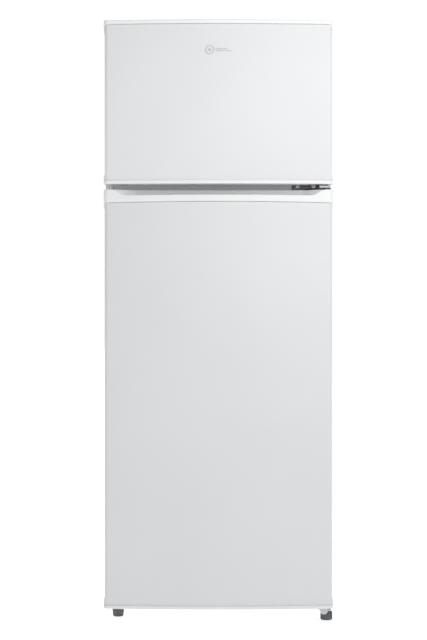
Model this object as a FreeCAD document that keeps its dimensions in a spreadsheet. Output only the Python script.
import FreeCAD, Part
import math
import os
import Sketcher

# Compact two-door top freezer refrigerator.
# Frame: millimetres, +Z up, origin on the floor under the middle of the whole body.
# The doors face -Y and hang on hinges at the +X side.

os.makedirs("parts", exist_ok=True)
doc = FreeCAD.newDocument("top_freezer_refrigerator")

# ---------------------------------------------------------------- driving dimensions

DIMENSIONS = (
    # overall size
    ("overall_width", 545, "across the end caps of the doors"),
    ("overall_depth", 555, "nose of the doors to the rear spacers"),
    ("overall_height", 1430, "floor to the top of the hinge cover"),
    # cabinet
    ("cabinet_width", 540, "across the steel shell"),
    ("cabinet_depth", 447, "front flange to rear panel"),
    ("cabinet_top", 1414, "height of the shell's top"),
    ("cabinet_floor", 26, "height of the shell's lower edge"),
    ("steel", 1, "sheet thickness of shell, skins and rear panel"),
    ("flange", 19, "width of the shell's front flange"),
    ("liner", 2, "wall of the vacuum formed liners"),
    ("liner_round", 22, "inner corner radius of the liners"),
    ("fridge_half", 222, "half the inner width of the fridge compartment"),
    ("fridge_low", 80, "floor of the fridge compartment"),
    ("fridge_high", 985, "ceiling of the fridge compartment"),
    ("fridge_back", 190, "rear wall of the fridge compartment, Y"),
    ("step_front", 70, "front of the step over the compressor, Y"),
    ("step_high", 262, "top of the step over the compressor"),
    ("freezer_half", 212, "half the inner width of the freezer compartment"),
    ("freezer_low", 1072, "floor of the freezer compartment"),
    ("freezer_high", 1352, "ceiling of the freezer compartment"),
    ("freezer_back", 170, "rear wall of the freezer compartment, Y"),
    ("rail_low", 995, "lower edge of the rail between the compartments"),
    ("rail_high", 1060, "upper edge of the rail between the compartments"),
    ("recess_front", 95, "front wall of the compressor recess, Y"),
    ("recess_high", 235, "ceiling of the compressor recess"),
    # doors
    ("door_bow", 15, "rise of the bowed door front"),
    ("door_thickness", 45, "door edge to the back of its liner"),
    ("door_gap", 10.5, "gasket gap between doors and cabinet"),
    ("door_round", 9, "radius of the doors' upright front edges"),
    ("cap_proud", 2, "how far the end caps stand before the skins"),
    ("plug", 16, "depth of the caps' plugs inside the skins"),
    ("lip_depth", 12.5, "depth of the top cap's front lip at its ends"),
    ("freezer_door_high", 1423, "top of the freezer door"),
    ("freezer_lip", 1413.5, "lower edge of the freezer door's top lip"),
    ("freezer_deck", 1411.5, "top of the freezer door behind its lip"),
    ("freezer_seam", 1043.7, "seam over the freezer door's bottom cap"),
    ("freezer_door_low", 1035, "bottom of the freezer door"),
    ("fridge_door_high", 1022.4, "top of the fridge door"),
    ("grip_lip", 1009, "top of the lip in front of the grip"),
    ("grip_floor", 990, "floor of the grip pocket"),
    ("grip_half", 249.5, "half width of the grip at its top"),
    ("grip_half_lip", 214, "half width of the grip at its lip"),
    ("fridge_seam", 991, "seam under the fridge door's top cap"),
    ("fridge_seam_low", 37.5, "seam over the fridge door's bottom cap"),
    ("fridge_door_low", 29.2, "bottom of the fridge door"),
    ("gasket_width", 17, "width of the door gaskets"),
    ("gasket_free", 0.3, "clearance between a closed gasket and the cabinet"),
    ("ridge_depth", 42, "how far the ridges of a door liner stand into the cabinet"),
    ("ridge_wide", 22, "width of the ridges"),
    # hinges
    ("pin_inset", 13, "hinge axis in from the cabinet's side"),
    ("pin_depth", 20.5, "hinge axis in front of the doors' backs"),
    ("pin", 4, "radius of the upper hinge pins"),
    ("pin_low", 6, "radius of the hollow bottom pin"),
    ("pin_play", 0.05, "radial clearance of the hinge pins"),
    ("hinge_plate", 3, "thickness of the hinge plates"),
    # standing
    ("foot_stud", 2.95, "radius of the levelling studs"),
    ("foot_bore", 3, "radius of the bores that take the studs"),
    ("left_foot_x", -241, "left foot"),
    ("left_foot_y", -188, "left foot"),
    ("roller", 15, "radius of the rear rollers"),
    ("roller_x", 215, "middle of a rear roller"),
    ("roller_y", 190, "axis of the rear rollers"),
    # inside
    ("glass", 4, "thickness of the glass shelves"),
    ("shelf_front", -116, "front edge of the fridge shelves, Y"),
    ("shelf_back", 186, "rear edge of the fridge shelves, Y"),
    ("bin_wall", 2.5, "wall of racks and drawer"),
    ("bin_back", -122, "inner face of the fridge door's racks, Y"),
    ("tube", 3, "radius of the refrigerant pipes"),
    ("condenser_y", 255, "plane of the condenser coil, Y"),
)

sheet = doc.addObject("Spreadsheet::Sheet", "dims")
for row, (alias, value, meaning) in enumerate(DIMENSIONS, start=1):
    sheet.set(f"A{row}", alias)
    sheet.set(f"B{row}", str(value))
    sheet.set(f"C{row}", meaning)
    sheet.setAlias(f"B{row}", alias)
doc.recompute()

# Expressions over the sheet that several sub-parts share.
CAP_X = "(dims.overall_width / 2)"
CASE_X = "(dims.cabinet_width / 2)"
INNER_X = f"({CASE_X} - dims.steel)"
FLANGE_X = f"({CASE_X} - dims.flange)"
PIN_X = f"({CASE_X} - dims.pin_inset)"
GASKET_X = f"({PIN_X} - 2)"
NOSE_Y = "(-dims.overall_depth / 2)"
CAP_Y = f"({NOSE_Y} + dims.door_bow)"
SKIN_Y = f"({CAP_Y} + dims.cap_proud)"
DOOR_BACK = f"({CAP_Y} + dims.door_thickness)"
LINER_Y = f"({DOOR_BACK} - dims.liner)"
LIP_BACK = f"({CAP_Y} + dims.lip_depth)"
CASE_FRONT = f"({DOOR_BACK} + dims.door_gap)"
CASE_BACK = f"({CASE_FRONT} + dims.cabinet_depth)"
PIN_Y = f"({DOOR_BACK} - dims.pin_depth)"
FREEZER_DOOR = ("dims.freezer_door_low", "dims.freezer_deck")
FRIDGE_DOOR = ("dims.fridge_door_low", "dims.fridge_door_high")
COMPRESSOR_X = 60
COMPRESSOR_Y = 166
TRAY_TOP = 38


def number(expression):
    """The value of an expression over the sheet."""
    value = sheet.evalExpression(str(expression))
    return float(getattr(value, "Value", value))


def about(low, high=None):
    """A range that is symmetric about zero, or a plain one."""
    return (f"-({low})", low) if high is None else (low, high)


# ---------------------------------------------------------------- building blocks

SUB_PARTS = []


def sub_part(feature, label):
    """Marks a finished piece: its label names its file."""
    feature.Label = label
    SUB_PARTS.append(feature)
    return feature


def block(name, x, y, z):
    """A box between two x, two y and two z values, each an expression or a number."""
    feature = doc.addObject("Part::Box", name)
    for side, axis, (low, high) in zip(("Length", "Width", "Height"), "xyz", (x, y, z)):
        feature.setExpression(side, f"({high}) - ({low})")
        feature.setExpression(f"Placement.Base.{axis}", f"{low}")
    return feature


ROD_TURNS = {
    "x": FreeCAD.Rotation(FreeCAD.Vector(0, 1, 0), 90),
    "y": FreeCAD.Rotation(FreeCAD.Vector(1, 0, 0), -90),
    "z": FreeCAD.Rotation(),
}


def rod(name, start, radius, length, direction="z"):
    """A cylinder that runs from its start along +X, +Y or +Z."""
    feature = doc.addObject("Part::Cylinder", name)
    feature.Placement.Rotation = ROD_TURNS[direction]
    feature.setExpression("Radius", f"{radius}")
    feature.setExpression("Height", f"{length}")
    for axis, value in zip("xyz", start):
        feature.setExpression(f"Placement.Base.{axis}", f"{value}")
    return feature


def fuse(name, *shapes):
    feature = doc.addObject("Part::MultiFuse", name)
    feature.Shapes = list(shapes)
    return feature


def cut(name, base, *tools):
    """The base with every tool taken out of it."""
    tool = tools[0] if len(tools) == 1 else fuse(f"{name}_tools", *tools)
    feature = doc.addObject("Part::Cut", name)
    feature.Base = base
    feature.Tool = tool
    return feature


def group(name, *shapes):
    """Separate solids that share one node."""
    feature = doc.addObject("Part::Compound", name)
    feature.Links = list(shapes)
    return feature


def origin_plane(body, role):
    return next(plane for plane in body.Origin.OriginFeatures if plane.Role == role)


def bind(sketch, kind, *place, value):
    """Adds a dimensional constraint that follows an expression."""
    index = sketch.addConstraint(Sketcher.Constraint(kind, *place, number(value)))
    sketch.setExpression(f"Constraints[{index}]", f"{value}")


def new_sketch(body, name, role, offset):
    sketch = body.newObject("Sketcher::SketchObject", name)
    sketch.AttachmentSupport = (origin_plane(body, role), [""])
    sketch.MapMode = "FlatFace"
    sketch.setExpression("AttachmentOffset.Base.z", f"{offset}")
    return sketch


def polygon(body, name, role, points, offset=0):
    """A closed outline of straight sides, each corner bound to two expressions."""
    sketch = new_sketch(body, name, role, offset)
    places = [FreeCAD.Vector(number(u), number(v), 0) for u, v in points]
    count = len(points)
    for index in range(count):
        sketch.addGeometry(Part.LineSegment(places[index], places[(index + 1) % count]), False)
    for index in range(count):
        sketch.addConstraint(Sketcher.Constraint("Coincident", index, 2, (index + 1) % count, 1))
    for index, (u, v) in enumerate(points):
        bind(sketch, "DistanceX", -1, 1, index, 1, value=u)
        bind(sketch, "DistanceY", -1, 1, index, 1, value=v)
    return sketch


def bowed_outline(body, name, half, edge, back, offset):
    """Plan of a door: straight sides and back, and a front that is one shallow arc."""
    sketch = new_sketch(body, name, "XY_Plane", offset)
    x, y, rear = number(half), number(edge), number(back)
    corners = [FreeCAD.Vector(*place, 0) for place in ((-x, y), (x, y), (x, rear), (-x, rear))]
    nose = FreeCAD.Vector(0, y - number("dims.door_bow"), 0)
    sketch.addGeometry(Part.Arc(corners[0], nose, corners[1]), False)
    for start, end in ((1, 2), (2, 3), (3, 0)):
        sketch.addGeometry(Part.LineSegment(corners[start], corners[end]), False)
    for first, second in ((0, 1), (1, 2), (2, 3), (3, 0)):
        sketch.addConstraint(Sketcher.Constraint("Coincident", first, 2, second, 1))
    for line, (u, v) in ((1, (half, edge)), (2, (half, back)), (3, (f"-({half})", back))):
        bind(sketch, "DistanceX", -1, 1, line, 1, value=u)
        bind(sketch, "DistanceY", -1, 1, line, 1, value=v)
    bind(sketch, "DistanceX", -1, 1, 0, 1, value=f"-({half})")
    bind(sketch, "DistanceY", -1, 1, 0, 1, value=edge)
    bow = "dims.door_bow"
    bind(sketch, "Radius", 0, value=f"({half} * {half} + {bow} * {bow}) / (2 * {bow})")
    return sketch


def pad(body, sketch, length, backwards=False):
    feature = body.newObject("PartDesign::Pad", f"{sketch.Name}_pad")
    feature.Profile = sketch
    feature.Reversed = backwards
    feature.setExpression("Length", f"{length}")
    return feature


def round_edges(body, radius, chosen):
    """Rounds the edges of a body's last feature that a test picks."""
    doc.recompute()
    base = body.Tip
    names = [f"Edge{i}" for i, edge in enumerate(base.Shape.Edges, start=1) if chosen(edge)]
    feature = body.newObject("PartDesign::Fillet", f"{body.Name}_round")
    feature.Base = (base, names)
    feature.setExpression("Radius", f"{radius}")
    doc.recompute()
    return feature


def runs_along(axis):
    """Picks the straight edges that run along one axis."""
    def chosen(edge):
        box = edge.BoundBox
        sizes = {"x": box.XLength, "y": box.YLength, "z": box.ZLength}
        along = sizes.pop(axis)
        return along > 1 and max(sizes.values()) < 0.01
    return chosen


def lies_at(axis, value):
    """Picks the edges that lie in one plane across an axis."""
    place = number(value)

    def chosen(edge):
        box = edge.BoundBox
        low = {"x": box.XMin, "y": box.YMin, "z": box.ZMin}[axis]
        high = {"x": box.XMax, "y": box.YMax, "z": box.ZMax}[axis]
        return abs(low - place) < 0.01 and abs(high - place) < 0.01
    return chosen


def new_body(name):
    return doc.addObject("PartDesign::Body", name)


def prism(name, role, points, offset, length, backwards=False):
    """A polygon padded into a body. XZ_Plane faces -Y, YZ_Plane +X and XY_Plane +Z."""
    body = new_body(name)
    pad(body, polygon(body, f"{name}_outline", role, points, offset), length, backwards)
    return body


def rounded_block(name, x, y, z, radius, chosen=None):
    """A box whose upright edges, or those that a test picks, are rounded."""
    corners = [(x[0], y[0]), (x[1], y[0]), (x[1], y[1]), (x[0], y[1])]
    body = prism(name, "XY_Plane", corners, z[0], f"({z[1]}) - ({z[0]})")
    round_edges(body, radius, chosen or runs_along("z"))
    return body


def bowed_block(name, half, edge, back, z, radius):
    """A door-shaped slab with rounded upright front edges."""
    body = new_body(name)
    pad(body, bowed_outline(body, f"{name}_plan", half, edge, back, z[0]), f"({z[1]}) - ({z[0]})")
    front = number(edge)

    def upright_front(edge_shape):
        box = edge_shape.BoundBox
        return runs_along("z")(edge_shape) and abs(box.YMax - front) < 0.01
    round_edges(body, radius, upright_front)
    return body


def pipe(name, points, radius, bend):
    """A round bar along straight runs that are joined by tangent arcs."""
    places = [FreeCAD.Vector(*point) for point in points]
    edges = []
    start = places[0]
    for before, corner, after in zip(places, places[1:], places[2:]):
        to_before = (before - corner).normalize()
        to_after = (after - corner).normalize()
        half_angle = to_before.getAngle(to_after) / 2
        reach = bend / math.tan(half_angle)
        enter = corner + to_before * reach
        leave = corner + to_after * reach
        middle = corner + (to_before + to_after).normalize() * (bend / math.sin(half_angle) - bend)
        edges.append(Part.LineSegment(start, enter).toShape())
        edges.append(Part.Arc(enter, middle, leave).toShape())
        start = leave
    edges.append(Part.LineSegment(start, places[-1]).toShape())
    path = Part.Wire(edges)
    ring = Part.Wire([Part.Circle(places[0], places[1] - places[0], radius).toShape()])
    feature = doc.addObject("Part::Feature", name)
    feature.Shape = path.makePipeShell([ring], True, True)
    feature.Placement = FreeCAD.Placement()
    return feature


# ---------------------------------------------------------------- cabinet

def cabinet_shell():
    """Top and both sides in one wrapped sheet, with a flange folded in at the front."""
    y = (CASE_FRONT, CASE_BACK)
    inner_top = "dims.cabinet_top - dims.steel"
    outer = block("shell_outer", about(CASE_X), y, ("dims.cabinet_floor", "dims.cabinet_top"))
    inner = block("shell_inner", about(INNER_X), (f"{CASE_FRONT} + dims.steel", f"{CASE_BACK} + 1"),
                  ("dims.cabinet_floor - 1", inner_top))
    mouth = block("shell_mouth", about(FLANGE_X), (f"{CASE_FRONT} - 1", f"{CASE_FRONT} + 2"),
                  ("dims.cabinet_floor - 1", "dims.cabinet_top - dims.flange"))
    sub_part(cut("cabinet_shell", outer, inner, mouth), "cabinet_shell")


def rear_panel():
    """Flat back that folds forward over the compressor recess and down to the base."""
    front = "dims.recess_front"
    high = "dims.recess_high"
    outline = [
        (front, "dims.cabinet_floor + dims.steel"),
        (front, high),
        (CASE_BACK, high),
        (CASE_BACK, "dims.cabinet_top - dims.steel"),
        (f"{CASE_BACK} - dims.steel", "dims.cabinet_top - dims.steel"),
        (f"{CASE_BACK} - dims.steel", f"{high} + dims.steel"),
        (f"{front} - dims.steel", f"{high} + dims.steel"),
        (f"{front} - dims.steel", "dims.cabinet_floor + dims.steel"),
    ]
    sheet_metal = prism("rear_sheet", "YZ_Plane", outline, f"-{INNER_X}", f"2 * {INNER_X}")
    suction_hole = block("rear_suction_hole", (-130, -110), (200, 232), (f"{high} - 1", f"{high} + 2"))
    drain_hole = rod("rear_drain_hole", (COMPRESSOR_X, COMPRESSOR_Y, f"{high} - 1"), 8, 3)
    sub_part(cut("rear_panel", sheet_metal, suction_hole, drain_hole), "rear_panel")


def base_plate():
    """Steel floor with an upturned front and a collar for the left foot."""
    low = "dims.cabinet_floor"
    floor_y = (f"{CASE_FRONT} + dims.steel", "dims.recess_front - dims.steel")
    floor = block("base_floor", about(INNER_X), floor_y, (low, f"{low} + dims.steel"))
    upturn = block("base_upturn", about(FLANGE_X), (CASE_FRONT, f"{CASE_FRONT} + dims.steel"),
                   (low, f"{low} + dims.flange"))
    lug = block("base_lug", about(FLANGE_X), (CASE_FRONT, f"{CASE_FRONT} + 2"), (low, f"{low} + dims.steel"))
    foot = ("dims.left_foot_x", "dims.left_foot_y")
    collar = rod("base_collar", (*foot, low), 8, 16)
    bore = rod("base_bore", (*foot, f"{low} - 1"), "dims.foot_bore", 18)
    sub_part(cut("base_plate", fuse("base_blank", floor, upturn, lug, collar), bore), "base_plate")


def fridge_space(name, grow):
    """The fridge compartment, with its step at the lower back, grown by a wall."""
    front = f"{CASE_FRONT} - 1" if grow == 0 else CASE_FRONT
    points = [
        (front, f"dims.fridge_low - {grow}"),
        (f"dims.step_front + {grow}", f"dims.fridge_low - {grow}"),
        (f"dims.step_front + {grow}", f"dims.step_high - {grow}"),
        (f"dims.fridge_back + {grow}", f"dims.step_high - {grow}"),
        (f"dims.fridge_back + {grow}", f"dims.fridge_high + {grow}"),
        (front, f"dims.fridge_high + {grow}"),
    ]
    half = f"(dims.fridge_half + {grow})"
    body = prism(name, "YZ_Plane", points, f"-{half}", f"2 * {half}")
    limit = number(front)

    def not_at_the_mouth(edge):
        return edge.BoundBox.YMax > limit + 0.5
    round_edges(body, f"dims.liner_round + {grow}", not_at_the_mouth)
    return body


def freezer_space(name, grow):
    """The freezer compartment grown by a wall."""
    front = f"{CASE_FRONT} - 1" if grow == 0 else CASE_FRONT
    half = f"(dims.freezer_half + {grow})"
    limit = number(front)
    y = (front, f"dims.freezer_back + {grow}")
    z = (f"dims.freezer_low - {grow}", f"dims.freezer_high + {grow}")

    def not_at_the_mouth(edge):
        return edge.BoundBox.YMax > limit + 0.5
    return rounded_block(name, about(half), y, z, f"dims.liner_round + {grow}", not_at_the_mouth)


SHELF_HEIGHTS = (430, 610, 790)
LEDGE = 9
COVER_HEIGHT = 250
FREEZER_SHELF_HEIGHT = 1206


def ledges(name, half, y, top):
    """The pair of ribs on a liner's side walls that carry one shelf."""
    z = (f"{top} - 8", f"{top}")
    left = block(f"{name}_left", (f"-({half})", f"-({half}) + {LEDGE}"), y, z)
    right = block(f"{name}_right", (f"({half}) - {LEDGE}", half), y, z)
    return [left, right]


def fridge_liner(outer, inner):
    flange = block("fridge_flange", about(FLANGE_X), (CASE_FRONT, f"{CASE_FRONT} + dims.liner"),
                   ("dims.cabinet_floor + dims.flange", "dims.rail_low"))
    shell = cut("fridge_liner_wall", fuse("fridge_liner_blank", outer, flange), inner)
    ribs = []
    for index, height in enumerate(SHELF_HEIGHTS):
        ribs += ledges(f"fridge_ledge_{index}", "dims.fridge_half + 1", ("dims.shelf_front", 160), height)
    ribs += ledges("cover_ledge", "dims.fridge_half + 1", ("dims.shelf_front", 40), COVER_HEIGHT)
    drain = rod("fridge_drain_hole", (COMPRESSOR_X, COMPRESSOR_Y, "dims.step_high - 4"), 6, 8)
    sub_part(cut("fridge_liner", fuse("fridge_liner_ribbed", shell, *ribs), drain), "fridge_liner")


def freezer_liner(outer, inner):
    flange = block("freezer_flange", about(FLANGE_X), (CASE_FRONT, f"{CASE_FRONT} + dims.liner"),
                   ("dims.rail_high", "dims.cabinet_top - dims.flange"))
    shell = cut("freezer_liner_wall", fuse("freezer_liner_blank", outer, flange), inner)
    ribs = ledges("freezer_ledge", "dims.freezer_half + 1", (-140, 140), FREEZER_SHELF_HEIGHT)
    sub_part(fuse("freezer_liner", shell, *ribs), "freezer_liner")


def centre_rail():
    """Steel channel between the compartments: the doors' gaskets meet it and the middle hinge sits on it."""
    depth = 12
    end_seam = 1.2
    z = ("dims.rail_low", "dims.rail_high")
    outer = block("rail_outer", about(f"{FLANGE_X} - {end_seam}"), (CASE_FRONT, f"{CASE_FRONT} + {depth}"), z)
    inner = block("rail_inner", about(f"{FLANGE_X} + 1"),
                  (f"{CASE_FRONT} + dims.steel", f"{CASE_FRONT} + {depth + 1}"),
                  ("dims.rail_low + dims.steel", "dims.rail_high - dims.steel"))
    sub_part(cut("centre_rail", outer, inner), "centre_rail")


def cabinet_foam(fridge_outer, freezer_outer):
    """Insulation foamed between shell, rear panel, base plate and liners."""
    low = "dims.cabinet_floor + dims.steel"
    body = block("foam_blank", about(INNER_X), (f"{CASE_FRONT} + dims.steel", f"{CASE_BACK} - dims.steel"),
                 (low, "dims.cabinet_top - dims.steel"))
    front = (f"{CASE_FRONT} - 1", f"{CASE_FRONT} + dims.liner")
    recess = block("foam_recess", about(CASE_X), ("dims.recess_front - dims.steel", f"{CASE_BACK} + 1"),
                   (f"{low} - 1", "dims.recess_high + dims.steel"))
    flanges = block("foam_flanges", about(FLANGE_X), front,
                    ("dims.cabinet_floor + dims.flange", "dims.cabinet_top - dims.flange"))
    rail = block("foam_rail", about(FLANGE_X), (f"{CASE_FRONT} - 1", f"{CASE_FRONT} + 12"),
                 ("dims.rail_low", "dims.rail_high"))
    lug = block("foam_lug", about(FLANGE_X), (f"{CASE_FRONT} - 1", f"{CASE_FRONT} + 2"), (low, 30))
    collar = rod("foam_collar", ("dims.left_foot_x", "dims.left_foot_y", 20), 8, 36)
    freezer_plate = block("foam_freezer_plate", about(182), (150, 178), (1095, 1331))
    fridge_plate = block("foam_fridge_plate", about(182), (180, 198), (500, 900))
    channel = block("foam_channel", (-130, -110), (176, 300), (200, 1260))
    drain = rod("foam_drain", (COMPRESSOR_X, COMPRESSOR_Y, 200), 8, "dims.step_high - 200")
    sub_part(
        cut("cabinet_foam", body, fridge_outer, freezer_outer, recess, flanges, rail, lug, collar,
            freezer_plate, fridge_plate, channel, drain),
        "cabinet_foam")


def cabinet():
    cabinet_shell()
    rear_panel()
    base_plate()
    fridge_outer = fridge_space("fridge_space_outer", "dims.liner")
    freezer_outer = freezer_space("freezer_space_outer", "dims.liner")
    fridge_liner(fridge_outer, fridge_space("fridge_space_inner", 0))
    freezer_liner(freezer_outer, freezer_space("freezer_space_inner", 0))
    centre_rail()
    cabinet_foam(fridge_outer, freezer_outer)


# ---------------------------------------------------------------- hinges

def plate_with_eye(name, points, z, eye):
    """A flat hinge plate: a polygon and the round eye about the hinge axis."""
    thickness = f"({z[1]}) - ({z[0]})"
    leaf = prism(f"{name}_leaf", "XY_Plane", points, z[0], thickness)
    disc = rod(f"{name}_eye", (PIN_X, PIN_Y, z[0]), eye, thickness)
    return [leaf, disc]


TOP_SCREWS = ((205, -165), (246, -165), (225, -187))
BOTTOM_SCREWS = ((205, -165), (246, -165), (225, -187))
MIDDLE_SCREWS = (190, 228)
LEAF_DEPTH = 2.5


def top_hinge():
    """Plate on the cabinet's top with the pin that hangs into the freezer door."""
    low = "dims.cabinet_top"
    high = f"({low} + dims.hinge_plate)"
    arm_right = f"{PIN_X} - 3"
    points = [(262, -148), (188, -148), (188, -190), (228, -212), (240, PIN_Y), (arm_right, PIN_Y),
              (arm_right, -203), (262, -203)]
    plate = plate_with_eye("top_hinge", points, (low, high), 9)
    pin = rod("top_hinge_pin", (PIN_X, PIN_Y, f"{low} - 17"), "dims.pin", 18)
    holes = [rod(f"top_hinge_hole_{i}", (x, y, f"{low} - 1"), 2.5, 6) for i, (x, y) in enumerate(TOP_SCREWS)]
    sub_part(cut("top_hinge", fuse("top_hinge_blank", *plate, pin), *holes), "top_hinge")


def middle_hinge():
    """Leaf screwed to the rail, an arm forward in the gap and pins for both doors."""
    low, high = 1024, 1027
    leaf_z = (1014, 1043)
    screw_z = 1034
    leaf = block("middle_leaf", (176, 243), (f"{CASE_FRONT} - {LEAF_DEPTH}", CASE_FRONT), leaf_z)
    points = [(243, f"{CASE_FRONT} - 1"), (206, f"{CASE_FRONT} - 1"), (236, -246), (258, -248), (266, -236)]
    arm = plate_with_eye("middle_hinge", points, (low, high), 11)
    lower = rod("middle_pin_lower", (PIN_X, PIN_Y, low - 19.5), "dims.pin", 20)
    upper = rod("middle_pin_upper", (PIN_X, PIN_Y, high - 1), "dims.pin", 25)
    holes = [rod(f"middle_hole_{i}", (x, f"{CASE_FRONT} - 4", screw_z), 2.5, 6, "y")
             for i, x in enumerate(MIDDLE_SCREWS)]
    blank = fuse("middle_hinge_blank", leaf, *arm, lower, upper)
    sub_part(cut("middle_hinge", blank, *holes), "middle_hinge")


def bottom_hinge():
    """Plate under the cabinet, a tongue folded down before the foot and a hollow pin."""
    high = "dims.cabinet_floor"
    low = f"({high} - dims.hinge_plate)"
    front = -257
    points = [(262, -148), (188, -148), (188, -190), (236, -222), (241, front), (262, front), (268.5, -246),
              (268.5, -210)]
    plate = plate_with_eye("bottom_hinge", points, (low, high), 11)
    tongue_x = (240.5, 259.5)
    tongue_low = 15
    under_the_door = "dims.fridge_door_low - 0.4"

    def lower_corners(edge):
        return runs_along("y")(edge) and edge.BoundBox.ZMax < tongue_low + 1
    tongue = rounded_block("bottom_tongue", tongue_x, (front, f"{front} + 2.5"), (tongue_low, under_the_door),
                           9, lower_corners)
    pin = rod("bottom_pin", (PIN_X, PIN_Y, low), "dims.pin_low", 24)
    bore = rod("bottom_bore", (PIN_X, PIN_Y, 0), "dims.foot_bore", 60)
    holes = [rod(f"bottom_hole_{i}", (x, y, 20), 2.5, 10) for i, (x, y) in enumerate(BOTTOM_SCREWS)]
    blank = fuse("bottom_hinge_blank", *plate, tongue, pin)
    sub_part(cut("bottom_hinge", blank, bore, *holes), "bottom_hinge")


def screw(name, place, direction, shank, head):
    """A pan-head screw: its shank fills the plate and its head lies on it."""
    thickness, head_height, head_radius = 3, 2.5, 5
    x, y, z = place
    if direction == "z":
        ends = ((x, y, z), (x, y, f"{z} + {head}"))
    else:
        ends = ((x, y, z), (x, f"{y} + {head}", z))
    return [
        rod(f"{name}_shank", ends[0], 2.5, shank, direction),
        rod(f"{name}_head", ends[1], head_radius, head_height, direction),
    ]


def hinge_screws():
    pieces = []
    top = "dims.cabinet_top"
    under = "(dims.cabinet_floor - dims.hinge_plate)"
    for index, (x, y) in enumerate(TOP_SCREWS):
        pieces.append(fuse(f"top_screw_{index}", *screw(f"top_screw_{index}", (x, y, top), "z", 3, 3)))
    for index, (x, y) in enumerate(BOTTOM_SCREWS):
        pieces.append(fuse(f"low_screw_{index}", *screw(f"low_screw_{index}", (x, y, under), "z", 3, -2.5)))
    for index, x in enumerate(MIDDLE_SCREWS):
        place = (x, f"({CASE_FRONT} - {LEAF_DEPTH})", 1034)
        pieces.append(fuse(f"mid_screw_{index}", *screw(f"mid_screw_{index}", place, "y", LEAF_DEPTH, -2.5)))
    sub_part(group("hinge_screws", *pieces), "hinge_screws")


def top_hinge_cover():
    """Moulded hood over the top hinge."""
    z = ("dims.cabinet_top", "dims.overall_height")
    outer = rounded_block("hood_outer", (180, f"{CASE_X} - 1.5"), (-205.5, -140), z, 6,
                          lambda edge: edge.BoundBox.ZMax > number("dims.cabinet_top") + 1)
    inner = block("hood_inner", (184, f"{CASE_X} - 5.5"), (-206, -144),
                  ("dims.cabinet_top - 1", "dims.overall_height - 3"))
    sub_part(cut("top_hinge_cover", outer, inner), "top_hinge_cover")


def hinges():
    top_hinge()
    middle_hinge()
    bottom_hinge()
    hinge_screws()
    top_hinge_cover()


# ---------------------------------------------------------------- doors

def door_skin(name, z, *cuts):
    """Pressed steel front with its two side returns."""
    outer = bowed_block(f"{name}_outer", CASE_X, SKIN_Y, LINER_Y, z, "dims.door_round")
    inner = bowed_block(f"{name}_inner", INNER_X, f"{SKIN_Y} + dims.steel", f"{LINER_Y} + 2",
                        (f"{z[0]} - 1", f"{z[1]} + 1"), "dims.door_round - dims.steel")
    sub_part(cut(name, outer, inner, *cuts), name)


def cap_block(name, z, back=LINER_Y):
    """Full door outline of a cap, proud of the skin."""
    return bowed_block(name, CAP_X, CAP_Y, back, z, "dims.door_round + 2")


def plug_block(name, z):
    """The part of a cap that sits inside the skin."""
    return bowed_block(name, INNER_X, f"{SKIN_Y} + dims.steel", LINER_Y, z, "dims.door_round - dims.steel")


def side_tabs(name, free, root):
    """Tongues of a cap on the door's two sides, thinning towards their free ends."""
    tabs = []
    shoulder = f"({root}) + 0.4 * (({free}) - ({root}))"
    front = f"({CAP_Y} + 8)"
    for side in (-1, 1):
        points = [(f"{side} * {CASE_X}", root), (f"{side} * {CAP_X}", root), (f"{side} * {CAP_X}", shoulder),
                  (f"{side} * ({CASE_X} + 0.6)", free), (f"{side} * {CASE_X}", free)]
        tabs.append(prism(f"{name}_{'left' if side < 0 else 'right'}", "XZ_Plane", points, f"-{LINER_Y}",
                          f"{LINER_Y} - {front}"))
    return tabs


def socket(name, z, radius):
    """Bore for a hinge pin."""
    return rod(name, (PIN_X, PIN_Y, z[0]), f"{radius} + dims.pin_play", f"({z[1]}) - ({z[0]})")


def freezer_door_caps():
    deck = "dims.freezer_deck"
    rim = f"({deck} - 3.5)"
    lip = cap_block("freezer_lip", ("dims.freezer_lip", "dims.freezer_door_high"), LIP_BACK)
    round_edges(lip, 2.5, lies_at("z", "dims.freezer_door_high"))
    plug = plug_block("freezer_top_plug", (f"{rim} - dims.plug", "dims.freezer_lip"))
    behind_lip = (LIP_BACK, f"{DOOR_BACK} + 1")
    trim = block("freezer_top_trim", about(CAP_X), behind_lip, (deck, "dims.freezer_door_high"))
    plate = block("freezer_top_plate", about(CAP_X), (LIP_BACK, LINER_Y), (rim, deck))
    tabs = side_tabs("freezer_top_tab", 1390, "dims.freezer_lip")
    hole = socket("freezer_top_socket", (f"{rim} - dims.plug + 2", 1430), "dims.pin")
    blank = cut("freezer_top_blank", fuse("freezer_top_union", lip, plug, plate, *tabs), trim)
    sub_part(cut("freezer_door_top_cap", blank, hole), "freezer_door_top_cap")

    low, seam = "dims.freezer_door_low", "dims.freezer_seam"
    foot = cap_block("freezer_low_lip", (low, seam))
    plug = plug_block("freezer_low_plug", (seam, f"{seam} + dims.plug"))
    grip = rounded_block("freezer_grip", about("dims.grip_half_lip + 1"), (f"{CAP_Y} + 9", f"{LINER_Y} - 12"),
                         (f"{low} - 1", f"{low} + 12"), 5)
    hole = socket("freezer_low_socket", (f"{low} - 1", f"{low} + 20"), "dims.pin")
    blank = fuse("freezer_low_union", foot, plug)
    sub_part(cut("freezer_door_bottom_cap", blank, grip, hole), "freezer_door_bottom_cap")
    return rim


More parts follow.
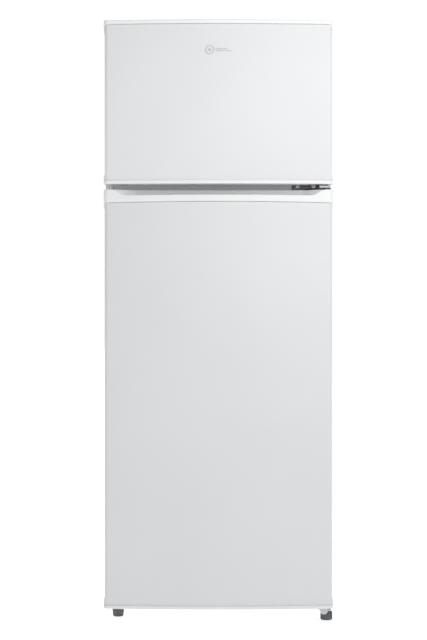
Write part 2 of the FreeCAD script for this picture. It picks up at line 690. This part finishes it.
def grip_opening():
    """Space over the lip of the fridge door's top cap, its ends swept outwards."""
    lip, high = "dims.grip_lip", "dims.fridge_door_high"
    wide, narrow = "dims.grip_half", "dims.grip_half_lip"
    above = f"({high}) + 1"
    points = [
        (f"-{narrow}", lip), (narrow, lip),
        (f"{narrow} + 12", f"{lip} + 2.5"), (f"{wide} - 8", f"{high} - 3"),
        (wide, high), (wide, above), (f"-{wide}", above), (f"-{wide}", high),
        (f"-{wide} + 8", f"{high} - 3"), (f"-{narrow} - 12", f"{lip} + 2.5"),
    ]
    back = f"({LINER_Y} - 13)"
    return prism("grip_opening", "XZ_Plane", points, f"-{back}", f"{back} - {NOSE_Y} + 1")


def fridge_door_caps():
    seam, high = "dims.fridge_seam", "dims.fridge_door_high"
    head = cap_block("fridge_top_block", (seam, high))
    round_edges(head, 1.5, lies_at("z", high))
    plug = plug_block("fridge_top_plug", (f"{seam} - dims.plug", seam))
    trench_y = (f"{CAP_Y} + 6", f"{LINER_Y} - 13")
    trench = rounded_block("grip_trench", about("dims.grip_half_lip - 2"), trench_y,
                           ("dims.grip_floor", high), 7)
    hole = socket("fridge_top_socket", (1003.5, 1040), "dims.pin")
    blank = fuse("fridge_top_union", head, plug)
    sub_part(cut("fridge_door_top_cap", blank, grip_opening(), trench, hole), "fridge_door_top_cap")

    low, seam = "dims.fridge_door_low", "dims.fridge_seam_low"
    foot = cap_block("fridge_low_lip", (low, seam))
    plug = plug_block("fridge_low_plug", (seam, f"{seam} + dims.plug"))
    tabs = side_tabs("fridge_low_tab", f"({seam} + 12)", seam)
    hole = socket("fridge_low_socket", (f"{low} - 1", f"{low} + 20"), "dims.pin_low")
    sub_part(cut("fridge_door_bottom_cap", fuse("fridge_low_union", foot, plug, *tabs), hole),
             "fridge_door_bottom_cap")


def ring(name, half, z, width, y):
    """A rectangular frame that stands on a door's back."""
    outer = rounded_block(f"{name}_outer", about(half), y, z, 8, runs_along("y"))
    inner = block(f"{name}_inner", about(f"{half} - ({width})"), (f"({y[0]}) - 1", f"({y[1]}) + 1"),
                  (f"({z[0]}) + ({width})", f"({z[1]}) - ({width})"))
    return cut(name, outer, inner)


def door_back(name, z, half, ridge_z, skirt):
    """Inner liner with its hollow ridge, the foam that fills it, and the gasket."""
    depth = "dims.ridge_depth"
    front, back = LINER_Y, DOOR_BACK
    sheet_metal = block(f"{name}_sheet", about(f"{INNER_X} - 1"), (front, back),
                        (f"{z[0]} + 1.5", f"{z[1]} - 1.5"))
    ridge = ring(f"{name}_ridge", half, ridge_z, "dims.ridge_wide", (front, f"{back} + {depth}"))
    core_half = f"({half} - dims.liner)"
    core_z = (f"{ridge_z[0]} + dims.liner", f"{ridge_z[1]} - dims.liner")
    core_y = (f"{front} - 1", f"{back} + {depth} - dims.liner")
    core = ring(f"{name}_core", core_half, core_z, "dims.ridge_wide - 2 * dims.liner", core_y)
    sub_part(cut(f"{name}_liner", fuse(f"{name}_liner_blank", sheet_metal, ridge), core), f"{name}_liner")

    slab = plug_block(f"{name}_slab", skirt)
    filling = ring(f"{name}_filling", core_half, core_z, "dims.ridge_wide - 2 * dims.liner", core_y)
    sub_part(fuse(f"{name}_foam", slab, filling), f"{name}_foam")

    seal_y = (back, f"{CASE_FRONT} - dims.gasket_free")
    seal = ring(f"{name}_seal", GASKET_X, (f"{z[0]} + 10", f"{z[1]} - 10"), "dims.gasket_width", seal_y)
    sub_part(seal, f"{name}_gasket")


def rack(name, half, back, z):
    """An open bin that hangs between the ridges of a door liner."""
    wall = "dims.bin_wall"
    y = (f"{DOOR_BACK} + 0.5", back)
    far = number(back)

    def inner_corners(edge):
        return runs_along("z")(edge) and edge.BoundBox.YMax > far - 4
    corner, dip_depth, dip_inset = 18, 12, 40
    inner_y = (f"{y[0]} + {wall}", f"({back}) - {wall}")
    outer = rounded_block(f"{name}_outer", about(half), y, z, corner, inner_corners)
    space = rounded_block(f"{name}_space", about(f"{half} - {wall}"), inner_y,
                          (f"{z[0]} + {wall}", f"{z[1]} + 1"), f"{corner} - {wall}", inner_corners)
    dip = block(f"{name}_dip", about(f"{half} - {dip_inset}"), (f"({back}) - 10", f"({back}) + 1"),
                (f"{z[1]} - {dip_depth}", f"{z[1]} + 1"))
    sub_part(cut(name, outer, space, dip), name)


FRIDGE_RIDGE = ("(dims.fridge_low + 8)", "(dims.fridge_high - 60)")
FREEZER_RIDGE = ("(dims.freezer_low + 8)", "(dims.freezer_high - 8)")


def freezer_door():
    rim = freezer_door_caps()
    above = block("freezer_skin_trim", about(CAP_X), (LIP_BACK, f"{DOOR_BACK} + 1"), (rim, 1440))
    door_skin("freezer_door_skin", ("dims.freezer_seam", "dims.freezer_lip"), above)
    half = "(dims.freezer_half - 9)"
    door_back("freezer_door", FREEZER_DOOR, half, FREEZER_RIDGE,
              ("dims.freezer_seam + dims.plug", f"{rim} - dims.plug"))
    for name, low in (("freezer_door_lower_rack", 1104), ("freezer_door_upper_rack", 1222)):
        rack(name, f"{half} - dims.ridge_wide - 1", -158, (low, low + 62))
    badge_half, badge_z = 31, (1346, 1358)
    on_skin = f"{NOSE_Y} + dims.cap_proud"
    badge = rounded_block("badge_bar", about(badge_half), (f"{on_skin} - 1.4", on_skin), badge_z, 5.9,
                          runs_along("y"))
    sub_part(badge, "badge")


def fridge_door():
    fridge_door_caps()
    door_skin("fridge_door_skin", ("dims.fridge_seam_low", "dims.fridge_seam"))
    half = "(dims.fridge_half - 9)"
    door_back("fridge_door", FRIDGE_DOOR, half, FRIDGE_RIDGE,
              ("dims.fridge_seam_low + dims.plug", "dims.fridge_seam - dims.plug"))
    for name, low, tall in (("fridge_door_bottle_rack", 118, 110), ("fridge_door_middle_rack", 480, 78),
                            ("fridge_door_upper_rack", 740, 78)):
        rack(name, f"{half} - dims.ridge_wide - 1", "dims.bin_back", (low, low + tall))


# ---------------------------------------------------------------- inside

def glass_shelves():
    """Loose glass panes on the liner's ledges, with moulded front and rear trims."""
    half = "dims.fridge_half - 2.5"
    trims = []
    for index, height in enumerate(SHELF_HEIGHTS, start=1):
        z = (height, f"{height} + dims.glass")
        pane = block(f"glass_shelf_{index}", about(half), ("dims.shelf_front + 6", "dims.shelf_back - 8"), z)
        sub_part(pane, f"glass_shelf_{index}")
        ends = {
            "front": ("dims.shelf_front", "dims.shelf_front + 12"),
            "rear": ("dims.shelf_back - 14", "dims.shelf_back"),
        }
        for end, y in ends.items():
            bar = block(f"trim_bar_{end}_{index}", about("dims.fridge_half - 10"), y,
                        (f"{height} - 3", f"{height} + dims.glass + 5"))
            trims.append(cut(f"trim_{end}_{index}", bar, pane))
    sub_part(group("shelf_trims", *trims), "shelf_trims")
    rear = number("dims.step_front - 3")
    cover = rounded_block("crisper_cover", about(half), ("dims.shelf_front", rear),
                          (COVER_HEIGHT, f"{COVER_HEIGHT} + dims.glass"), "dims.liner_round + 2",
                          lambda edge: runs_along("z")(edge) and edge.BoundBox.YMin > rear - 1)
    sub_part(cover, "crisper_cover")


DRAWER_X = 205
DRAWER_Y = (-118, 58)
DRAWER_Z = (83, 238)


def crisper_drawer():
    """Clear drawer under the crisper cover, with a finger lip along its front."""
    wall = "dims.bin_wall"
    outer = rounded_block("drawer_outer", about(DRAWER_X), (DRAWER_Y[0] + 4, DRAWER_Y[1]), DRAWER_Z, 24)
    space = rounded_block("drawer_space", about(f"{DRAWER_X} - {wall}"),
                          (f"{DRAWER_Y[0] + 4} + {wall}", f"{DRAWER_Y[1]} - {wall}"),
                          (f"{DRAWER_Z[0]} + {wall}", DRAWER_Z[1] + 1), f"24 - {wall}")
    lip_height = 16
    rim = block("drawer_rim", about(DRAWER_X - 20), (DRAWER_Y[0], DRAWER_Y[0] + 5),
                (DRAWER_Z[1] - lip_height, DRAWER_Z[1]))
    sub_part(cut("crisper_drawer", fuse("drawer_union", outer, rim), space), "crisper_drawer")


def freezer_shelf():
    """Coated wire shelf: a frame and bars that run front to back."""
    y = (-136, 150)
    x = number("dims.freezer_half") - 3.5
    frame_radius, bar_radius, pitch = 3, 1.5, 22
    level = FREEZER_SHELF_HEIGHT + frame_radius
    corners = [(-x, y[0], level), (x, y[0], level), (x, y[1], level), (-x, y[1], level)]
    sides = []
    for index, start in enumerate(corners):
        end = corners[(index + 1) % 4]
        along = "x" if start[1] == end[1] else "y"
        low = [min(a, b) for a, b in zip(start, end)]
        length = max(abs(a - b) for a, b in zip(start, end))
        sides.append(rod(f"shelf_side_{index}", low, frame_radius, length, along))
    sides += [doc.addObject("Part::Sphere", f"shelf_corner_{index}") for index in range(4)]
    for ball, corner in zip(sides[4:], corners):
        ball.setExpression("Radius", f"{frame_radius}")
        for axis, value in zip("xyz", corner):
            ball.setExpression(f"Placement.Base.{axis}", f"{value}")
    count = int(2 * x / pitch)
    for index in range(1, count):
        place = -x + 2 * x * index / count
        sides.append(rod(f"shelf_bar_{index}", (place, y[0], level + 1), bar_radius, y[1] - y[0], "y"))
    sub_part(fuse("freezer_shelf", *sides), "freezer_shelf")


CONSOLE_X = 85
CONSOLE_Y = (-196, 40)
CONSOLE_Z = 938
KNOB_X = 38
SWITCH_X = -50
LAMP_Y = -110
CONTROL_Z = 961
STEM = 4
STEM_PLAY = 0.05


def control_console():
    """Housing under the fridge's ceiling: thermostat, lamp and door switch."""
    high = "dims.fridge_high"
    shell = rounded_block("console_shell", about(CONSOLE_X), CONSOLE_Y, (CONSOLE_Z, high), 8,
                          lambda edge: edge.BoundBox.ZMax < CONSOLE_Z + 1 or runs_along("z")(edge))
    space = block("console_space", about(CONSOLE_X - 3), (CONSOLE_Y[0] + 3, CONSOLE_Y[1] - 3),
                  (CONSOLE_Z + 3, f"{high} + 1"))
    window = block("console_window", about(60), (LAMP_Y - 40, LAMP_Y + 60), (CONSOLE_Z - 1, CONSOLE_Z + 4))
    bore = STEM + STEM_PLAY
    knob_hole = rod("console_knob_hole", (KNOB_X, CONSOLE_Y[0] - 1, CONTROL_Z), bore, 5, "y")
    switch_hole = rod("console_switch_hole", (SWITCH_X, CONSOLE_Y[0] - 1, CONTROL_Z), bore, 5, "y")
    housing = cut("console_housing", shell, space, window, knob_hole, switch_hole)
    sub_part(housing, "control_housing")

    cover = rounded_block("lamp_lens_outer", about(59.7), (LAMP_Y - 39.7, LAMP_Y + 59.7),
                          (CONSOLE_Z - 6, CONSOLE_Z + 3), 4, lambda edge: edge.BoundBox.ZMax < CONSOLE_Z - 5)
    hollow = block("lamp_cover_hollow", about(57), (LAMP_Y - 37, LAMP_Y + 57), (CONSOLE_Z - 4, CONSOLE_Z + 4))
    sub_part(cut("lamp_lens", cover, hollow), "lamp_cover")

    bulb = new_body("bulb")
    profile = [(0, 0), (11, 0), (11, 18), (15, 30), (16, 40), (12, 50), (6, 55), (0, 56)]
    outline = polygon(bulb, "bulb_profile", "XZ_Plane", profile)
    turn = bulb.newObject("PartDesign::Revolution", "bulb_turn")
    turn.Profile = outline
    turn.ReferenceAxis = (outline, ["V_Axis"])
    turn.Angle = 360
    bulb.Placement = FreeCAD.Placement(FreeCAD.Vector(0, LAMP_Y + 50, 960),
                                       FreeCAD.Rotation(FreeCAD.Vector(1, 0, 0), 90))
    sub_part(bulb, "lamp_bulb")


def thermostat_knob():
    """Dial with a grip bar and the spindle that turns in the housing."""
    front = CONSOLE_Y[0]
    disc = rod("knob_disc", (KNOB_X, front - 5, CONTROL_Z), 15, 4.5, "y")
    grip = rounded_block("knob_grip", (KNOB_X - 3, KNOB_X + 3), (front - 12, front - 4),
                         (CONTROL_Z - 13, CONTROL_Z + 13), 2.5, lambda edge: edge.BoundBox.YMax < front - 11)
    spindle = rod("knob_spindle", (KNOB_X, front - 2, CONTROL_Z), STEM, 20, "y")
    sub_part(fuse("thermostat_knob", disc, grip, spindle), "thermostat_knob")


def door_switch_plunger():
    """Plunger that the closing door pushes in."""
    nose = f"({DOOR_BACK} + 0.3)"
    stem = rod("switch_stem", (SWITCH_X, f"{nose}", CONTROL_Z), STEM, f"({CONSOLE_Y[0] + 10}) - {nose}", "y")
    collar = rod("switch_collar", (SWITCH_X, CONSOLE_Y[0] + 4, CONTROL_Z), STEM + 2, 3, "y")
    sub_part(fuse("door_switch_plunger", stem, collar), "door_switch_plunger")


def inside():
    glass_shelves()
    crisper_drawer()
    freezer_shelf()
    control_console()
    thermostat_knob()
    door_switch_plunger()


# ---------------------------------------------------------------- refrigeration

GROMMETS = [(COMPRESSOR_X + x, COMPRESSOR_Y + y) for x in (-84, 84) for y in (-42, 42)]
BODY_LOW = TRAY_TOP + 12


def compressor():
    """Welded oval shell on a foot plate, with its three pipe stubs."""
    low, high = BODY_LOW + 3, 196
    x, y = COMPRESSOR_X, COMPRESSOR_Y
    shell = rounded_block("compressor_shell", (x - 82, x + 82), (y - 56, y + 56), (low, high), 54)
    top = number(high)
    round_edges(shell, 30, lambda edge: edge.BoundBox.ZMin > top - 0.01)
    seam = rounded_block("compressor_seam", (x - 86, x + 86), (y - 60, y + 60), (120, 124), 58)
    plate = rounded_block("compressor_feet", (x - 96, x + 96), (y - 54, y + 54), (BODY_LOW, low), 12)
    holes = [rod(f"compressor_hole_{i}", (u, v, BODY_LOW - 1), 3.5, 6) for i, (u, v) in enumerate(GROMMETS)]
    stubs = [
        rod("compressor_suction", (x - 100, y + 30, 165), 4.5, 40, "x"),
        rod("compressor_discharge", (x + 60, y + 30, 90), 4, 46, "x"),
        rod("compressor_process", (x + 60, y - 30, 90), 4, 42, "x"),
    ]
    blank = fuse("compressor_blank", shell, seam, plate, *stubs)
    sub_part(cut("compressor", blank, *holes), "compressor")


def compressor_mounts():
    rings = []
    bolts = []
    for index, (x, y) in enumerate(GROMMETS):
        body = rod(f"grommet_body_{index}", (x, y, TRAY_TOP), 9, BODY_LOW - TRAY_TOP)
        bore = rod(f"grommet_bore_{index}", (x, y, TRAY_TOP - 1), 3, BODY_LOW - TRAY_TOP + 2)
        rings.append(cut(f"grommet_{index}", body, bore))
        shank = rod(f"bolt_shank_{index}", (x, y, TRAY_TOP), 3, BODY_LOW + 3 - TRAY_TOP)
        head = rod(f"bolt_head_{index}", (x, y, BODY_LOW + 3), 6, 4)
        bolts.append(fuse(f"bolt_{index}", shank, head))
    sub_part(group("compressor_grommets", *rings), "compressor_grommets")
    sub_part(group("compressor_bolts", *bolts), "compressor_bolts")


def compressor_tray():
    """Cross member under the compressor, with a fork for each rear roller."""
    z = (TRAY_TOP - 2, TRAY_TOP)
    floor = block("tray_floor", about(INNER_X), ("dims.recess_front + 3", 236), z)
    lips = [block(f"tray_lip_{i}", about(INNER_X), y, (z[0], TRAY_TOP + 14))
            for i, y in enumerate((("dims.recess_front + 3", "dims.recess_front + 5"), (234, 236)))]
    lugs = []
    holes = []
    for side in (-1, 1):
        for index, inset in enumerate((-12.5, 9.5)):
            start = f"{side} * dims.roller_x + {inset}"
            name = f"tray_lug_{'left' if side < 0 else 'right'}_{index}"
            lug_y = ("dims.roller_y - 11", "dims.roller_y + 11")
            lugs.append(block(name, (start, f"{start} + 3"), lug_y, (7, z[0])))
            holes.append(rod(f"{name}_hole", (f"{start} - 1", "dims.roller_y", "dims.roller"), 3.05, 5, "x"))
    sub_part(cut("compressor_tray", fuse("tray_union", floor, *lips, *lugs), *holes), "compressor_tray")


def rear_rollers():
    """Moulded rollers that turn on their own journals."""
    for label, side in (("left_roller", -1), ("right_roller", 1)):
        middle = f"{side} * dims.roller_x"
        axis = ("dims.roller_y", "dims.roller")
        wheel = rod(f"{label}_wheel", (f"{middle} - 8.5", *axis), "dims.roller", 17, "x")
        journal = rod(f"{label}_journal", (f"{middle} - 12.5", *axis), 3, 25, "x")
        sub_part(fuse(label, wheel, journal), label)


def relay_cover():
    """Plastic box over the compressor's terminals."""
    x = COMPRESSOR_X - 82
    outer = rounded_block("relay_outer", (x - 34, x), (COMPRESSOR_Y - 40, COMPRESSOR_Y + 14), (70, 118), 6,
                          lambda edge: edge.BoundBox.XMax < x - 1)
    sub_part(outer, "relay_cover")


def drain_parts():
    """Defrost water runs from the step of the liner into a tray on the compressor."""
    x, y = COMPRESSOR_X, COMPRESSOR_Y
    low, high = 196, 222
    half_x, half_y, wall = 70, 48, 2.5
    outer = rounded_block("pan_outer", (x - half_x, x + half_x), (y - half_y, y + half_y), (low, high), 20)
    space = rounded_block("pan_space", (x - half_x + wall, x + half_x - wall),
                          (y - half_y + wall, y + half_y - wall), (low + wall, high + 1), 20 - wall)
    sub_part(cut("drain_tray", outer, space), "drain_tray")
    end = high - 8
    tube = rod("drain_outer", (x, y, end), 8, f"dims.step_high - dims.liner - {end}")
    bore = rod("drain_bore", (x, y, end - 1), 6, 60)
    sub_part(cut("drain_tube", tube, bore), "drain_tube")


COIL_X = 205
COIL_LOW = 300
COIL_HIGH = 1320
COIL_PASSES = 17


def condenser_coil():
    """Wire-on-tube condenser: one serpentine tube between two rows of upright wires."""
    y = number("dims.condenser_y")
    tube, wire, overlap = 2.4, 0.8, 0.2
    pitch = (COIL_HIGH - COIL_LOW) / (COIL_PASSES - 1)
    points = [(-COIL_X - 12, y, COIL_HIGH)]
    for index in range(COIL_PASSES):
        level = COIL_HIGH - index * pitch
        side = 1 if index % 2 == 0 else -1
        last = index == COIL_PASSES - 1
        points.append((side * (COIL_X + (12 if last else 0)), y, level))
        if not last:
            points.append((side * COIL_X, y, level - pitch))
    serpentine = pipe("condenser_tube", points, tube, 22)
    wires = []
    count = 29
    for index in range(count):
        x = -COIL_X + 27 + (2 * COIL_X - 54) * index / (count - 1)
        for side in (-1, 1):
            name = f"condenser_wire_{index}_{'front' if side < 0 else 'rear'}"
            wires.append(rod(name, (x, y + side * (tube + wire - overlap), COIL_LOW - 14), wire,
                             COIL_HIGH - COIL_LOW + 28))
    sub_part(fuse("condenser_coil", serpentine, *wires), "condenser_coil")


def rear_spacers():
    """Moulded blocks that hold the coil off the panel and keep the wall at a distance."""
    blocks = []
    for side in (-1, 1):
        for index, level in enumerate((COIL_LOW + 96, COIL_HIGH - 96)):
            name = f"spacer_{'left' if side < 0 else 'right'}_{index}"
            x = sorted((side * (COIL_X - 6), side * (COIL_X + 16)))
            body = rounded_block(name, x, (CASE_BACK, "dims.overall_depth / 2"), (level - 16, level + 16), 4,
                                 runs_along("y"))
            slot_x = sorted((side * (COIL_X - 7), side * (COIL_X + 4)))
            slot = block(f"{name}_slot", slot_x, ("dims.condenser_y - 3.5", "dims.condenser_y + 3.5"),
                         (level - 17, level + 17))
            blocks.append(cut(f"{name}_cut", body, slot))
    sub_part(group("rear_spacers", *blocks), "rear_spacers")


def refrigerant_pipes():
    """Discharge riser to the coil, liquid line to the drier, capillary and suction line."""
    x, y = COMPRESSOR_X, COMPRESSOR_Y
    radius = number("dims.tube")
    coil_y = number("dims.condenser_y")
    discharge = pipe("pipe_discharge", [
        (x + 106, y + 30, 90), (x + 165, y + 30, 90), (x + 165, coil_y, 150), (x + 172, coil_y, 1352),
        (-COIL_X - 40, coil_y, 1352), (-COIL_X - 40, coil_y, COIL_HIGH), (-COIL_X - 12, coil_y, COIL_HIGH)],
        2.4, 10)
    liquid = pipe("pipe_liquid", [
        (COIL_X + 12, coil_y, COIL_LOW), (COIL_X + 38, coil_y, COIL_LOW), (COIL_X + 38, coil_y, 222),
        (COIL_X + 38, 215, 200), (COIL_X + 38, 215, 190)], 2.4, 9)
    capillary = pipe("pipe_capillary", [
        (COIL_X + 38, 215, 88), (COIL_X + 38, 215, 74), (COIL_X + 38, 230, 60), (-95, 230, 60),
        (-114, 224, 90), (-114, 224, 1190)], 1.2, 6)
    suction = pipe("pipe_suction", [
        (x - 100, y + 30, 165), (-90, y + 30, 165), (-122, 212, 200), (-122, 212, 1240), (-122, 178, 1240)],
        radius, 12)
    sub_part(group("refrigerant_pipes", discharge, liquid, capillary, suction), "refrigerant_pipes")

    drier = rod("drier_body", (COIL_X + 38, 215, 100), 9, 78)
    neck_low = rod("drier_neck_low", (COIL_X + 38, 215, 88), 4, 14)
    neck_high = rod("drier_neck_high", (COIL_X + 38, 215, 176), 4, 14)
    sub_part(fuse("filter_drier", drier, neck_low, neck_high), "filter_drier")


def evaporator(name, y, z, passes):
    """Roll-bonded plate behind a liner: a sheet with a raised serpentine channel."""
    half = 180
    plate = block(f"{name}_plate", about(half), (y, y + 1.5), z)
    low, high = z[0] + 20, z[1] - 20
    pitch = (high - low) / (passes - 1)
    points = [(-half + 20, y + 1.5, high)]
    for index in range(passes):
        side = 1 if index % 2 == 0 else -1
        points.append((side * (half - 20), y + 1.5, high - index * pitch))
        if index < passes - 1:
            points.append((side * (half - 20), y + 1.5, high - (index + 1) * pitch))
    channel = pipe(f"{name}_channel", points, 3, pitch * 0.45)
    below = block(f"{name}_trim", about(300), (y - 10, y), (z[0] - 10, z[1] + 10))
    sub_part(cut(f"{name}_piece", fuse(f"{name}_union", plate, channel), below), name)


def cord_gland():
    """Gland where the supply cord leaves the tray; the cord itself is not part of the model."""
    flange = rod("gland_flange", (-238, 236, 45), 9, 3, "y")
    body = rod("gland_body", (-238, 238, 45), 6.5, 14, "y")
    bore = rod("gland_bore", (-238, 235, 45), 3.5, 20, "y")
    sub_part(cut("cord_gland", fuse("gland_union", flange, body), bore), "cord_gland")


def refrigeration():
    compressor_tray()
    compressor()
    compressor_mounts()
    rear_rollers()
    relay_cover()
    drain_parts()
    condenser_coil()
    rear_spacers()
    refrigerant_pipes()
    evaporator("freezer_evaporator", 172.5, (1100, 1326), 5)
    evaporator("fridge_evaporator", 192.5, (506, 894), 7)
    cord_gland()


# ---------------------------------------------------------------- feet

def turned_foot(label, profile, x, y):
    """A levelling foot turned about its own axis and set in place."""
    foot = new_body(label)
    outline = polygon(foot, f"{label}_profile", "XZ_Plane", profile)
    turn = foot.newObject("PartDesign::Revolution", f"{label}_turn")
    turn.Profile = outline
    turn.ReferenceAxis = (outline, ["V_Axis"])
    turn.Angle = 360
    foot.setExpression("Placement.Base.x", f"{x}")
    foot.setExpression("Placement.Base.y", f"{y}")
    return foot


def levelling_feet():
    stud = "dims.foot_stud"
    smooth = [(0, 0), (10, 0), (12.2, 1.4), (12.8, 3.5), (14.4, 19), (14.4, 21),
              (stud, 21), (stud, 41), (0, 41)]
    sub_part(turned_foot("left_foot", smooth, "dims.left_foot_x", "dims.left_foot_y"), "left_foot")

    low_rim, high_rim, core_radius = 1.5, 19.5, 12.8
    plain = [(0, 0), (core_radius - 1, 0), (core_radius, low_rim), (core_radius, high_rim),
             (core_radius - 1, 21), (stud, 22), (stud, 46), (0, 46)]
    core = turned_foot("right_foot_core", plain, PIN_X, PIN_Y)
    ribs = []
    count, reach, rib = 12, 12.2, 2
    for index in range(count):
        angle = 360 * index / count
        x = f"{PIN_X} + {reach} * cos({angle} deg)"
        y = f"{PIN_Y} + {reach} * sin({angle} deg)"
        ribs.append(rod(f"foot_rib_{index}", (x, y, low_rim), rib, high_rim - low_rim))
    sub_part(fuse("right_foot", core, *ribs), "right_foot")


# ---------------------------------------------------------------- build and write

def check_document():
    """Stops if any object failed or a sub-part is not a sound shape."""
    bad = [item.Name for item in doc.Objects if "Invalid" in item.State or "Error" in item.State]
    if bad:
        raise RuntimeError(f"these objects failed to recompute: {bad}")
    labels = [item.Label for item in SUB_PARTS]
    if len(set(labels)) != len(labels):
        raise RuntimeError("two sub-parts share a label")
    for item in SUB_PARTS:
        shape = item.Shape
        if shape.isNull() or not shape.isValid() or not shape.Solids:
            raise RuntimeError(f"{item.Label} has no sound solid")


cabinet()
hinges()
freezer_door()
fridge_door()
inside()
refrigeration()
levelling_feet()
doc.recompute()
check_document()
for item in SUB_PARTS:
    item.Shape.exportStep(f"parts/{item.Label}.step")
    box = item.Shape.BoundBox
    print(f"{item.Label}: {len(item.Shape.Solids)} solid(s), {box.XLength:.1f} x {box.YLength:.1f} x "
          f"{box.ZLength:.1f} mm, {item.Shape.Volume / 1000:.1f} cm3")
print(f"{len(SUB_PARTS)} sub-parts")
